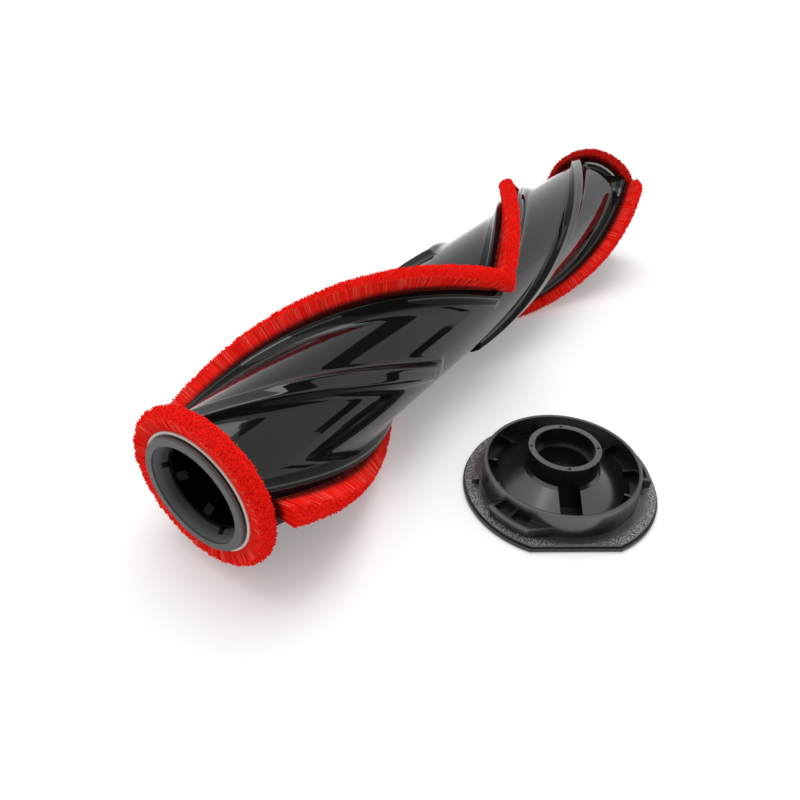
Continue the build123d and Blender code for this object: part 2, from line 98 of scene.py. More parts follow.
camera = bpy.data.objects.new("camera", bpy.data.cameras.new("camera"))
camera.data.sensor_width = SENSOR_WIDTH
camera.data.lens = CAMERA_LENS
camera.data.clip_start = 0.005
camera.matrix_world = Matrix.Translation(CAMERA_PLACE) @ Matrix(
    camera_axes(CAMERA_HEADING, CAMERA_PITCH, CAMERA_ROLL)
).transposed().to_4x4()
bpy.context.scene.collection.objects.link(camera)
bpy.context.scene.camera = camera
print("camera at", tuple(round(c, 4) for c in camera.location))

# %% [markdown]
# ## Shader maths as expressions
#
# A material is a graph of nodes. Written by hand that is long, so two small classes let the graph be typed
# like arithmetic: a Value is one output socket, and adding or multiplying Values adds Math nodes.


# %% Classes that write node graphs
class Value:
    """One output socket of a material, with operators that add Math nodes."""

    def __init__(self, graph, socket):
        self.graph = graph
        self.socket = socket

    def math(self, operation, first, second=0.0):
        """A Math node on two values or numbers."""
        return self.graph.node("ShaderNodeMath", {"operation": operation}, {0: first, 1: second})

    def __add__(self, other):
        return self.math("ADD", self, other)

    def __sub__(self, other):
        return self.math("SUBTRACT", self, other)

    def __rsub__(self, other):
        return self.math("SUBTRACT", other, self)

    def __mul__(self, other):
        return self.math("MULTIPLY", self, other)

    def __truediv__(self, other):
        return self.math("DIVIDE", self, other)

    def __rtruediv__(self, other):
        return self.math("DIVIDE", other, self)

    def __pow__(self, other):
        return self.math("POWER", self, other)

    def __rpow__(self, other):
        return self.math("POWER", other, self)

    __radd__ = __add__
    __rmul__ = __mul__

    def sine(self):
        """Sine of the value."""
        return self.math("SINE", self)

    def ramp(self, low, high):
        """0 below low, 1 above high and smooth between them."""
        settings = {"interpolation_type": "SMOOTHSTEP"}
        inputs = {"Value": self, "From Min": low, "From Max": high}
        return self.graph.node("ShaderNodeMapRange", settings, inputs)


class Graph:
    """A node tree that nodes are added to."""

    def __init__(self, tree):
        self.tree = tree

    def node(self, kind, settings=None, inputs=None, output=0):
        """Adds a node: first its settings, then the values or links of its sockets."""
        made = self.tree.nodes.new(kind)
        for name, setting in (settings or {}).items():
            setattr(made, name, setting)
        for key, value in (inputs or {}).items():
            self.feed(made.inputs[key], value)
        return Value(self, made.outputs[output])

    def feed(self, socket, value):
        """Links a Value to a socket, or sets a constant on it."""
        if isinstance(value, Value):
            self.tree.links.new(value.socket, socket)
        else:
            socket.default_value = value


class Finish(Graph):
    """A material whose nodes are added by expressions."""

    def __init__(self, name):
        self.material = bpy.data.materials.new(name)
        self.material.use_nodes = True
        super().__init__(self.material.node_tree)
        self.shader = self.tree.nodes["Principled BSDF"]

    def surface(self, **sockets):
        """Feeds the sockets of the shader; words in a name are parted by underscores."""
        for name, value in sockets.items():
            label = {"Ior": "IOR", "Specular Ior Level": "Specular IOR Level", "Coat Ior": "Coat IOR"}
            title = name.replace("_", " ").title()
            self.feed(self.shader.inputs[label.get(title, title)], value)
        return self.material

    def place_mm(self):
        """Position on the part in millimetres."""
        here = self.node("ShaderNodeTexCoord", output="Object")
        return self.node("ShaderNodeVectorMath", {"operation": "SCALE"}, {0: here, "Scale": 1 / MM})

    def noise(self, place, per_mm, detail=2.0, roughness=0.5):
        """Noise from 0 to 1 with so many lumps to the millimetre."""
        inputs = {"Vector": place, "Scale": per_mm, "Detail": detail, "Roughness": roughness}
        return self.node("ShaderNodeTexNoise", None, inputs)

    def parts(self, place):
        """The X, Y and Z of a vector."""
        return [self.node("ShaderNodeSeparateXYZ", None, {0: place}, axis) for axis in range(3)]

    def stretch(self, place, x, y, z):
        """A vector with each axis scaled by its own number."""
        return self.node("ShaderNodeVectorMath", {"operation": "MULTIPLY"}, {0: place, 1: (x, y, z)})

    def blend(self, amount, low, high):
        """A colour between two colours."""
        return self.node(
            "ShaderNodeMix", {"data_type": "RGBA"}, {"Factor": amount, 6: low, 7: high}, output=2
        )

    def bump(self, height, distance_mm, strength=1.0, edge_mm=None):
        """A normal bent by a height from 0 to 1, and rounded over at sharp edges."""
        inputs = {"Height": height, "Distance": distance_mm * MM, "Strength": strength}
        if edge_mm:
            settings = {"samples": 4}
            inputs["Normal"] = self.node("ShaderNodeBevel", settings, {"Radius": edge_mm * MM})
        return self.node("ShaderNodeBump", None, inputs)


# %% [markdown]
# ## Plastics
#
# Three black plastics are seen. The tube is polished on its round land, on top of its ribs and along the
# edges of its rails, so there it is a mirror of the room in black; the flanks between are duller. A clear
# coat whose weight follows the distance from the axis does that, since the land, the ribs and the rails each
# have their own height. The collar and the cap came out of a fine sandblasted mould: satin, with a grain that
# only shows in the highlights. Painted shade darkens the colour inside the mouth, and a thinner coat inside
# the cup is painted shade too. On top of the cap's flange the mould was spark-eroded. Light from all round
# hides a bump, so the crests of those furrows also get painted highlights: a paler colour, which stops short
# of the cup wall.


# %% Black plastic finishes, with the distances in millimetres over which they change
LAND_ENDS = (17.2, 17.5)
RIB_TOP_STARTS = (18.85, 19.05)
RIB_TOP_ENDS = (19.25, 19.4)
RAIL_EDGE_STARTS = (19.8, 19.92)
# Painted shade: radii over which the darkening inside the mouth fades out.
MOUTH_SHADE_ENDS = (11.6, 13.4)
CAP_FLANGE_TOP = 2.5
CUP_RADIUS = 21.2
# Painted shade: radii where the thinner coat inside the cup begins.
CUP_SHADE_STARTS = (16.2, 17.4)
CUP_WALL = (20.5, 20.7)


def polished_black():
    """Tube: near-black and mirror-like, with duller flanks on its rails and ribs."""
    finish = Finish("polished_black")
    place = finish.place_mm()
    x, y, z = finish.parts(place)
    out = (y * y + z * z) ** 0.5
    on_land = 1 - out.ramp(*LAND_ENDS)
    rib_top = out.ramp(*RIB_TOP_STARTS) * (1 - out.ramp(*RIB_TOP_ENDS))
    rail_edge = out.ramp(*RAIL_EDGE_STARTS)
    waves = finish.noise(finish.stretch(place, 0.25, 1.0, 1.0), 0.16, 1.0)
    haze = finish.noise(place, 0.6, 3.0)
    dust = finish.noise(place, 5.0, 2.0).ramp(0.72, 0.8)
    return finish.surface(
        base_color=finish.blend(dust * 0.35, (0.006, 0.0065, 0.0065, 1), (0.05, 0.05, 0.05, 1)),
        roughness=0.05 + haze * 0.06 + dust * 0.2,
        specular_ior_level=0.08,
        coat_weight=on_land * 0.55 + rib_top * 0.8 + rail_edge,
        coat_roughness=0.03,
        coat_ior=1.5,
        normal=finish.bump(waves, 0.25, 0.35),
    )


def satin_black(name, tone, roughness, specular=0.6, edge_mm=0.25):
    """Collar, socket, plug and cover: grained satin plastic, with painted shade that darkens it near the
    roller's axis, inside the mouth.
    """
    finish = Finish(name)
    place = finish.place_mm()
    grain = finish.noise(place, 6.0, 3.0, 0.6)
    cloud = finish.noise(place, 0.25, 2.0)
    deep = (tone * 0.8, tone * 0.82, tone * 0.84, 1)
    pale = (tone * 1.2, tone * 1.22, tone * 1.2, 1)
    x, y, z = finish.parts(place)
    out = (y * y + z * z) ** 0.5
    shade = finish.blend(cloud, deep, pale)
    # Painted shade: near the axis, inside the mouth, the colour falls to 0.15 of its tone.
    dark = (tone * 0.15, tone * 0.15, tone * 0.15, 1)
    return finish.surface(
        base_color=finish.blend(out.ramp(*MOUTH_SHADE_ENDS), dark, shade),
        roughness=roughness + (cloud - 0.5) * 0.12 + (grain - 0.5) * 0.15,
        specular_ior_level=specular,
        normal=finish.bump(grain, 0.03, 0.5, edge_mm),
    )


def cap_black(floor_mm, centre):
    """End cap: satin plastic with painted shade inside its cup (a thinner coat) and a furrowed flange top
    whose crests carry painted highlights.
    """
    finish = Finish("cap_black")
    place = finish.place_mm()
    x, y, z = finish.parts(place)
    out = ((x - centre[0]) ** 2.0 + (y - centre[1]) ** 2.0) ** 0.5
    level = z - (floor_mm + CAP_FLANGE_TOP)
    on_top = level.ramp(-0.15, -0.05) * (1 - level.ramp(0.05, 0.15))
    on_flange = on_top * out.ramp(CUP_RADIUS, CUP_RADIUS + 0.2)
    # Painted highlights: the furrow crests are painted pale, starting a little way out from the cup wall.
    furrow_highlights = on_top * out.ramp(CUP_RADIUS + 1.2, CUP_RADIUS + 3.6)
    furrows = finish.noise(finish.stretch(place, 0.5, 1.5, 1.0), 2.8, 3.0, 0.6)
    grain = finish.noise(place, 5.0, 3.0, 0.6)
    cloud = finish.noise(place, 0.2, 2.0)
    height = grain * 0.06 + furrows * on_flange * 2.2
    # Painted shade: inside the cup the coat is thinned, so that its reflections go dark.
    cup_shade = out.ramp(*CUP_SHADE_STARTS) * (1 - out.ramp(*CUP_WALL))
    plain = finish.blend(cloud, (0.004, 0.0042, 0.004, 1), (0.009, 0.0095, 0.009, 1))
    return finish.surface(
        # Painted highlights: pale colour on the furrow crests.
        base_color=finish.blend(furrows.ramp(0.44, 0.62) * furrow_highlights, plain, (0.36, 0.36, 0.35, 1)),
        roughness=0.24 + (cloud - 0.5) * 0.1 - on_flange * 0.03,
        specular_ior_level=0.6,
        coat_weight=0.95 - cup_shade * 0.85,
        coat_roughness=0.2,
        normal=finish.bump(height, 0.22, 0.8, 0.22),
    )


# %% [markdown]
# ## Pile, tape and steel
#
# The pile is dense red nylon. Every bristle carries two numbers of its own, how near a point is to the tip
# and a tint: roots are painted nearly black as shade, bodies are bright red, and here and there a strand is
# paler, so that no two bristles match. Along the pile's edges more strands are paler, as painted highlights,
# and the far ring is painted a darker red as shade. A red sheen stands for the light that soft fibres scatter
# along their edges. The tape that carries the pile is woven and cream. The bearing and the axle are ground or
# pressed steel.


# %% Pile, tape and steel finishes
# Painted shade at the roots of the pile, the red body, and pale strands that are also painted highlights.
PILE_ROOT_SHADE = (0.008, 0.0003, 0.0003, 1)
PILE_BODY = (0.99, 0.010, 0.005, 1)
PILE_PALE_AND_HIGHLIGHT = (0.98, 0.160, 0.110, 1)


def red_pile():
    """Bristles: painted shade, nearly black, at the root, bright red above, and a paler strand here and there
    that is also a painted highlight.
    """
    finish = Finish("red_pile")
    tip = finish.node("ShaderNodeAttribute", {"attribute_name": "tip"}, output="Fac")
    tint = finish.node("ShaderNodeAttribute", {"attribute_name": "tint"}, output="Fac")
    # Painted shade: the roots are nearly black, shading into the red body.
    lower = finish.blend(tip.ramp(0.3, 0.62), PILE_ROOT_SHADE, PILE_BODY)
    return finish.surface(
        # Paler strands: a random tone, and along the pile's edges painted highlights.
        base_color=finish.blend(tint.ramp(0.55, 1.0) * tip.ramp(0.3, 0.7), lower, PILE_PALE_AND_HIGHLIGHT),
        roughness=0.62 + tint * 0.2,
        specular_ior_level=0.1,
        sheen_weight=1.0,
        sheen_roughness=0.5,
        sheen_tint=(1.0, 0.07, 0.04, 1),
    )


def cream_tape():
    """Woven backing: crossed threads in cream."""
    finish = Finish("cream_tape")
    place = finish.place_mm()
    x, y, z = finish.parts(place)
    along = (x * 14.0).sine()
    turn = finish.node("ShaderNodeMath", {"operation": "ARCTAN2"}, {0: y, 1: z})
    around = (turn * 220.0).sine()
    weave = along * around * 0.5 + 0.5
    return finish.surface(
        base_color=finish.blend(weave, (0.72, 0.66, 0.60, 1), (0.90, 0.87, 0.83, 1)),
        roughness=0.85,
        specular_ior_level=0.2,
        normal=finish.bump(weave, 0.06, 0.6),
    )


def steel(name, tone, roughness, edge_mm=0.12):
    """Ground or pressed steel with fine turning marks."""
    finish = Finish(name)
    place = finish.place_mm()
    marks = finish.noise(finish.stretch(place, 9.0, 0.6, 0.6), 1.0, 3.0, 0.6)
    dull = (tone * 0.85, tone * 0.85, tone * 0.86, 1)
    bright = (tone, tone, tone * 1.02, 1)
    return finish.surface(
        base_color=finish.blend(marks, dull, bright),
        metallic=1.0,
        roughness=roughness + (marks - 0.5) * 0.12,
        normal=finish.bump(marks, 0.01, 0.3, edge_mm),
    )


# %% Paint the pieces that keep their CAD shape
floor_z = cad_box[0].z
CAP_CENTRE = (75.6, -58.8)

finishes = {
    "collar_black_plastic": satin_black("collar_black", 0.095, 0.5, 0.35),
    "socket_black_plastic": satin_black("socket_black", 0.005, 0.42, 0.12),
    "plug_black_plastic": satin_black("plug_black", 0.022, 0.45),
    "cover_black_plastic": satin_black("cover_black", 0.012, 0.38),
    "cap_black_plastic": cap_black(floor_z / MM, CAP_CENTRE),
    "black_gloss_plastic": polished_black(),
    "cream_backing": cream_tape(),
    "red_pile": red_pile(),
    "ground_steel": steel("ground_steel", 0.6, 0.28),
    "bearing_steel": steel("bearing_steel", 0.72, 0.15),
    "pressed_steel": steel("pressed_steel", 0.52, 0.35),
    "spring_steel": steel("spring_steel", 0.12, 0.32),
}


def paint(piece, material):
    """Gives a piece one material."""
    piece.data.materials.clear()
    piece.data.materials.append(material)


for subpart in frame["record"]["subparts"]:
    paint(nodes[subpart["node"]], finishes[subpart["material_slot"]])

# %% [markdown]
# ## The tube
#
# The CAD tube has sharp corners where the mould has small radii, and a mirror finish shows every one of
# them. So the tube is drawn again from the same sizes: one cross-section with filleted rails, ribs and
# T-shaped channels is carried along the axis and turned with the helix. That keeps the edges of the mesh
# running along the rails, which a boolean and a bevel would not.

# %% Sizes of the tube, in millimetres and degrees
TUBE_RADIUS = 16.8
TUBE_BORE = 14.2
MITRE_X = 113.1
MITRE_ANGLE = 55.1
NEAR_TURN = 1.408
FAR_TURN = 1.422
TUBE_NEAR_X = 0.9
NEAR_SHOULDER_X = 6.5
FAR_SHOULDER_X = 223.4
TUBE_FAR_X = 233.2
RING_SEAT = 15.6
FAR_NECK = 15.0
FAR_BORE = 12.8
FAR_BORE_X = 219.2
FEATURE_ROOT = 14.7
RAIL_ROOT_HALF = 6.63
RAIL_TOP_HALF = 5.0
RAIL_HEIGHT = 19.3
CHANNEL_HALF = 3.9
CHANNEL_MOUTH_HALF = 2.6
CHANNEL_FLOOR = 17.1
CHANNEL_ROOF = 18.1
RIB_ROOT_HALF = 4.5
RIB_TOP_HALF = 2.2
RIB_HEIGHT = 19.0
RIB_FADE = 9.0
RIB_ENDS = {90.0: 81.5, -90.0: None}
RAIL_EDGE = 0.35
RIB_EDGE = 0.8
RAIL_FILLET = 3.0
RIB_FILLET = 1.6
STATION_STEP = 0.8
NECK_ROUND = 0.35


def helix_angle(x):
    """Angle round the roller of the upper strip at x, in radians from the top towards the front."""
    near = MITRE_ANGLE + NEAR_TURN * (x - MITRE_X)
    far = MITRE_ANGLE - FAR_TURN * (x - MITRE_X)
    return np.radians(np.where(x <= MITRE_X, near, far))


def on_roller(x, across, out, angle):
    """Points of the part from x, distance across and distance out at an angle round the roller."""
    y = -(out * np.sin(angle) + across * np.cos(angle))
    z = out * np.cos(angle) - across * np.sin(angle)
    return np.stack([x + 0 * y, y, z], axis=-1) * MM


def curve(start, corner, end, count):
    """Points on a smooth curve that leaves start and reaches end, pulled towards a corner."""
    t = np.linspace(0, 1, count)[:, None]
    start, corner, end = (np.array(point, float) for point in (start, corner, end))
    return start * (1 - t) ** 2 + 2 * corner * t * (1 - t) + end * t**2


def flank_foot(root_half, top_half, top, base):
    """Where a flank meets the round of the tube."""
    slope = (root_half - top_half) / (top - FEATURE_ROOT)
    side = root_half + slope * FEATURE_ROOT
    a, b, c = 1 + slope**2, -2 * side * slope, side**2 - base**2
    out = (-b + math.sqrt(b * b - 4 * a * c)) / (2 * a)
    return side - slope * out, out


def half_feature(inner, root_half, top_half, top, edge, fillet, base):
    """Right half of a rail or rib, from its middle down its flank to the tube."""
    foot = np.array(flank_foot(root_half, top_half, top, base))
    corner = np.array((top_half, top))
    down = (foot - corner) / np.linalg.norm(foot - corner)
    reach = min(fillet, 0.6 * np.linalg.norm(foot - corner))
    turn = math.atan2(foot[0], foot[1]) + reach / base
    rest = np.array((base * math.sin(turn), base * math.cos(turn)))
    return np.concatenate([
        np.array(inner, float),
        curve(corner - (edge, 0), corner, corner + down * edge, 5),
        curve(foot - down * reach, foot, rest, 8),
    ])


def mirrored(half):
    """Both halves of a feature, from left to right."""
    return np.concatenate([half[:0:-1] * (-1, 1), half])


def turned_by(points, degrees):
    """Turns section points round the roller's axis."""
    turn = math.radians(degrees)
    across, out = points[:, 0], points[:, 1]
    return np.stack([
        across * math.cos(turn) + out * math.sin(turn),
        out * math.cos(turn) - across * math.sin(turn),
    ], axis=1)


def base_radius(x):
    """Radius of the bare tube at x: it steps down to a neck before the far ring."""
    t = np.clip((x - FAR_SHOULDER_X) / NECK_ROUND, 0, 1)
    return TUBE_RADIUS + (FAR_NECK - TUBE_RADIUS) * t * t * (3 - 2 * t)


def rib_limit(x, near_end, base):
    """Radius that a rib is cut to where its near half fades out before the mitre."""
    t = min(max((near_end - x) / RIB_FADE, 0.0), 1.0) if x <= MITRE_X else 1.0
    return base + (RIB_HEIGHT + 0.4 - base) * t


RAIL_INNER = [
    (0, CHANNEL_FLOOR),
    (CHANNEL_HALF, CHANNEL_FLOOR),
    (CHANNEL_HALF, CHANNEL_ROOF),
    (CHANNEL_MOUTH_HALF, CHANNEL_ROOF),
    (CHANNEL_MOUTH_HALF, RAIL_HEIGHT - 0.12),
    (CHANNEL_MOUTH_HALF + 0.12, RAIL_HEIGHT),
]
RIB_INNER = [(0, RIB_HEIGHT), (0.9, RIB_HEIGHT)]
BETWEEN_COUNT = 16


def tube_section(x):
    """Closed section of the tube at x, in the frame that turns with the strips."""
    base = base_radius(x)
    rail = mirrored(half_feature(
        RAIL_INNER, RAIL_ROOT_HALF, RAIL_TOP_HALF, RAIL_HEIGHT, RAIL_EDGE, RAIL_FILLET, base
    ))
    rib = mirrored(half_feature(
        RIB_INNER, RIB_ROOT_HALF, RIB_TOP_HALF, RIB_HEIGHT, RIB_EDGE, RIB_FILLET, base
    ))
    features = []
    for degrees in (0.0, 90.0, 180.0, -90.0):
        points = rib if degrees in RIB_ENDS else rail
        if RIB_ENDS.get(degrees):
            limit = rib_limit(x, RIB_ENDS[degrees], base)
            size = np.linalg.norm(rib, axis=1, keepdims=True)
            points = rib * np.minimum(1.0, limit / size)
        features.append(turned_by(points, degrees))
    section = []
    for index, feature in enumerate(features):
        section.append(feature)
        here = math.atan2(*feature[-1])
        there = math.atan2(*features[(index + 1) % 4][0])
        gap = (there - here) % math.tau
        turns = here + gap * np.linspace(0, 1, BETWEEN_COUNT)[1:-1]
        section.append(np.stack([np.sin(turns), np.cos(turns)], axis=1) * base)
    return np.concatenate(section)


def stations():
    """Places along the tube where its section is drawn."""
    places = list(np.arange(NEAR_SHOULDER_X, TUBE_FAR_X, STATION_STEP))
    places += [MITRE_X, MITRE_X + 0.05, TUBE_FAR_X]
    places += list(FAR_SHOULDER_X + NECK_ROUND * np.linspace(0, 1, 5))
    for near_end in filter(None, RIB_ENDS.values()):
        places += [near_end, near_end - RIB_FADE]
    return np.unique(np.round(places, 3))


class Shell:
    """Collects the points and faces of a mesh."""

    def __init__(self):
        self.points = []
        self.faces = []

    def loop(self, points):
        """Adds a closed loop and returns the numbers of its points."""
        first = len(self.points)
        self.points += [tuple(point) for point in points]
        return list(range(first, len(self.points)))

    def skin(self, loops):
        """Joins loops of equal length with quads."""
        for first, second in zip(loops, loops[1:]):
            for index in range(len(first)):
                after = (index + 1) % len(first)
                self.faces.append((first[index], first[after], second[after], second[index]))

    def lid(self, *loops):
        """Closes a loop, with any loops inside it as holes."""
        order = [number for loop in loops for number in loop]
        rings = [[Vector(self.points[number]) for number in loop] for loop in loops]
        for triangle in tessellate_polygon(rings):
            self.faces.append(tuple(order[number] for number in triangle))

    def piece(self, name, material, sharp_degrees):
        """Makes the object, with outward normals and creases at sharp edges."""
        mesh = bpy.data.meshes.new(name)
        mesh.from_pydata(self.points, [], self.faces)
        mesh.validate()
        made = bpy.data.objects.new(name, mesh)
        bpy.context.scene.collection.objects.link(made)
        tidy_mesh(mesh)
        mesh.shade_smooth()
        mesh.set_sharp_from_angle(angle=math.radians(sharp_degrees))
        paint(made, material)
        return made


def tidy_mesh(mesh):
    """Merges points that coincide and turns every face outward."""
    work = bmesh.new()
    work.from_mesh(mesh)
    bmesh.ops.remove_doubles(work, verts=work.verts, dist=0.002 * MM)
    bmesh.ops.recalc_face_normals(work, faces=work.faces)
    work.to_mesh(mesh)
    work.free()


def ring_points(x, radius, count=96):
    """Loop of points round the roller's axis."""
    turns = np.linspace(0, math.tau, count, endpoint=False)
    return on_roller(x, 0 * turns, radius + 0 * turns, turns)


# %% Build the tube
def make_tube():
    """The polished tube, drawn with the radii of its mould."""
    shell = Shell()
    outside = []
    for x in stations():
        section = tube_section(x)
        outside.append(shell.loop(on_roller(x, section[:, 0], section[:, 1], helix_angle(x))))
    bore = [(NEAR_SHOULDER_X, TUBE_BORE), (FAR_BORE_X, TUBE_BORE)]
    bore += [(FAR_BORE_X, FAR_BORE), (TUBE_FAR_X, FAR_BORE)]
    inside = [shell.loop(ring_points(x, radius)) for x, radius in bore]
    shell.skin(outside)
    shell.skin(inside)
    shell.lid(outside[0], inside[0])
    shell.lid(outside[-1], inside[-1])
    neck = [(TUBE_NEAR_X, TUBE_BORE), (TUBE_NEAR_X, RING_SEAT)]
    neck += [(NEAR_SHOULDER_X, RING_SEAT), (NEAR_SHOULDER_X, TUBE_BORE)]
    collar_seat = [shell.loop(ring_points(x - 0.01, radius)) for x, radius in neck]
    shell.skin(collar_seat + collar_seat[:1])
    tube = shell.piece("tube_skin", finishes["black_gloss_plastic"], 38.0)
    weights = tube.modifiers.new("weighted normals", "WEIGHTED_NORMAL")
    weights.keep_sharp = True
    return tube


tube = make_tube()
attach(tube, "roller")
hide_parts("roller_tube")
print("tube", len(tube.data.vertices), "points", len(tube.data.polygons), "faces")

# %% [markdown]
# ## The pile
#
# Each strip and each ring holds thousands of nylon bristles. A hair system would render them, but it would
# not export, so every bristle is a thin closed sliver that starts in a point at the tape and ends blunt at
# the brush's rounded crest, where the ends lie side by side and catch the light. Bristles come in tufts:
# those of one tuft lean the same way, and a few strays stand proud, which gives the pile its combed, fuzzy
# edge. Where the two halves of a strip meet in a mitre, the bristles fan out over the point of the V. A plain
# core fills the middle so that no light falls between the roots.

# %% Bristles and their core
STRIP_NEAR_X = 6.8
STRIP_FAR_X = 232.9
STRIP_ROOT = 18.05
STRIP_SHOULDER = 24.4
STRIP_TIP = 25.6
STRIP_ROOT_HALF = 2.4
STRIP_TIP_HALF = 3.05
STRIP_BRISTLES = 32000
RING_ROOT = 16.3
RING_SHOULDER = 19.7
RING_TIP = 21.1
RING_ROOT_HALF = 2.2
RING_TIP_HALF = 2.5
RING_LEAN = -0.35
RING_BRISTLES = 32000
NEAR_RING_X = 3.7
FAR_RING_X = 236.0
BRISTLE_WIDTH = 0.27
TUFT_PITCH = 0.95
TUFT_LEAN = 0.12
TIP_SCATTER = 0.1
LENGTH_SCATTER = 0.06
LENGTH_OVER = 0.12
MITRE_FAN = 5.0
MITRE_SPLAY = 1.5
STRAY_SHARE = 0.05
STRAY_LENGTH = 0.5
TRIANGLE_RADIUS = 0.58
ROOT_CLEARANCE = 0.3
TIP_CLEARANCE = 0.03
PALE_MIDDLE = 0.55
# Painted highlights: more pale strands along the pile's edges.
PALE_EDGE_HIGHLIGHT = 0.45
CORE_TINT = 0.2
CORE_SIDE = 0.2
CORE_TIPS = (0.85, 0.9, 0.9, 0.85)
STRIP_CORE_HALF = 1.4
STRIP_CORE_TOP_DROP = 0.6
STRIP_CORE_SIDE_DROP = 0.5
STRIP_CORE_LOOPS = 90
STRIP_CORE_END = 0.3
RING_CORE_HALF = 1.2
RING_CORE_TOP_DROP = 0.7
RING_CORE_SIDE_DROP = 0.4
RING_CORE_FOOT = 0.1
FLOOR_MM = floor_z / MM


def slivers(roots, tips, rng):
    """Closed three-sided slivers with a blunt outer end: four points and four triangles each."""
    count = len(roots)
    along = tips - roots
    along /= np.linalg.norm(along, axis=1, keepdims=True)
    aside = np.cross(along, rng.normal(size=(count, 3)))
    aside /= np.linalg.norm(aside, axis=1, keepdims=True)
    other = np.cross(along, aside)
    width = BRISTLE_WIDTH * MM * rng.uniform(0.75, 1.25, (count, 1))
    corners = []
    for turn in (0.0, math.tau / 3, 2 * math.tau / 3):
        corners.append(tips + width * TRIANGLE_RADIUS * (math.cos(turn) * aside + math.sin(turn) * other))
    points = np.stack([*corners, roots], axis=1).reshape(-1, 3)
    first = 4 * np.arange(count)[:, None, None]
    pattern = np.array([(0, 1, 2), (1, 0, 3), (2, 1, 3), (0, 2, 3)])
    return points, (first + pattern).reshape(-1, 3)


def tuft_lean(along, across, seed):
    """Lean of each bristle, shared by the bristles of its tuft."""
    column = np.floor(along / TUFT_PITCH).astype(int)
    row = np.floor((across + 10) / TUFT_PITCH).astype(int)
    rng = np.random.default_rng(seed)
    table = rng.normal(0, TUFT_LEAN, (column.max() + 2, row.max() + 2, 2))
    return table[column, row]


def pile_piece(name, core, core_tip, roots, tips, ends, share, rng):
    """Joins a core and its bristles in one piece; ends has the tip values of a root and of a crest."""
    roots[:, 2] = np.maximum(roots[:, 2], (FLOOR_MM + ROOT_CLEARANCE) * MM)
    points, triangles = slivers(roots, tips, rng)
    points[:, 2] = np.maximum(points[:, 2], (FLOOR_MM + TIP_CLEARANCE) * MM)
    core_points = np.array(core.points)
    core_points[:, 2] = np.maximum(core_points[:, 2], (FLOOR_MM + ROOT_CLEARANCE) * MM)
    shift = len(points)
    faces = triangles.tolist() + [tuple(number + shift for number in face) for face in core.faces]
    mesh = bpy.data.meshes.new(name)
    mesh.from_pydata(np.concatenate([points, core_points]).tolist(), [], faces)
    count = len(roots)
    # Paleness is a random tone, raised along the edges of the pile as painted highlights.
    paleness_and_highlight = rng.uniform(0, 1, count) * (PALE_MIDDLE + PALE_EDGE_HIGHLIGHT * share**4)
    tip = np.concatenate([np.tile((ends[1], ends[1], ends[1], ends[0]), count), core_tip])
    tint = np.concatenate([np.repeat(paleness_and_highlight, 4), np.full(len(core_points), CORE_TINT)])
    for label, values in (("tip", tip), ("tint", tint)):
        mesh.attributes.new(label, "FLOAT", "POINT").data.foreach_set("value", values.astype(np.float32))
    made = bpy.data.objects.new(name, mesh)
    bpy.context.scene.collection.objects.link(made)
    paint(made, finishes["red_pile"])
    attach(made, "roller")
    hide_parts(name.replace("_bristles", "_pile"))
    print(name, len(faces), "faces")


def crest(share, shoulder, tip):
    """Distance out of a rounded crest, from the middle (share 0) to its edge (share 1 or -1)."""
    return shoulder + (tip - shoulder) * (1 - share**2)


def strip_pile(name, x_from, x_to, offset, seed):
    """Pile of half a strip."""
    rng = np.random.default_rng(seed)
    x = rng.uniform(x_from, x_to, STRIP_BRISTLES)
    share = rng.uniform(-1, 1, STRIP_BRISTLES)
    lean = tuft_lean(x - x_from, share * STRIP_TIP_HALF, seed)
    scatter = rng.normal(0, TIP_SCATTER, (STRIP_BRISTLES, 2))
    length = rng.gamma(2.0, LENGTH_SCATTER, STRIP_BRISTLES)
    length -= STRAY_LENGTH * (rng.uniform(0, 1, STRIP_BRISTLES) < STRAY_SHARE)
    turn = helix_angle(x) + math.radians(offset)
    roots = on_roller(x, share * STRIP_ROOT_HALF, STRIP_ROOT, turn)
    splay = MITRE_SPLAY * np.clip(1 - np.abs(x - MITRE_X) / MITRE_FAN, 0, 1) * (share + 1) / 2
    tip_across = share * STRIP_TIP_HALF + splay + lean[:, 0] + scatter[:, 0]
    tip_out = crest(share, STRIP_SHOULDER, STRIP_TIP) + LENGTH_OVER - length
    tips = on_roller(x + lean[:, 1] + scatter[:, 1], tip_across, tip_out, turn)
    core = Shell()
    outline = np.array([
        (-STRIP_ROOT_HALF, STRIP_ROOT),
        (STRIP_ROOT_HALF, STRIP_ROOT),
        (STRIP_TIP_HALF - CORE_SIDE, STRIP_SHOULDER - STRIP_CORE_SIDE_DROP),
        (STRIP_CORE_HALF, STRIP_TIP - STRIP_CORE_TOP_DROP),
        (-STRIP_CORE_HALF, STRIP_TIP - STRIP_CORE_TOP_DROP),
        (CORE_SIDE - STRIP_TIP_HALF, STRIP_SHOULDER - STRIP_CORE_SIDE_DROP),
    ])
    loops = []
    for place in np.linspace(x_from + STRIP_CORE_END, x_to - STRIP_CORE_END, STRIP_CORE_LOOPS):
        angle = helix_angle(place) + math.radians(offset)
        loops.append(core.loop(on_roller(place, outline[:, 0], outline[:, 1], angle)))
    core.skin(loops)
    core.lid(loops[0])
    core.lid(loops[-1])
    core_tip = np.tile((0.0, 0.0, *CORE_TIPS), len(loops))
    pile_piece(name, core, core_tip, roots, tips, (0.0, 1.0), share, rng)


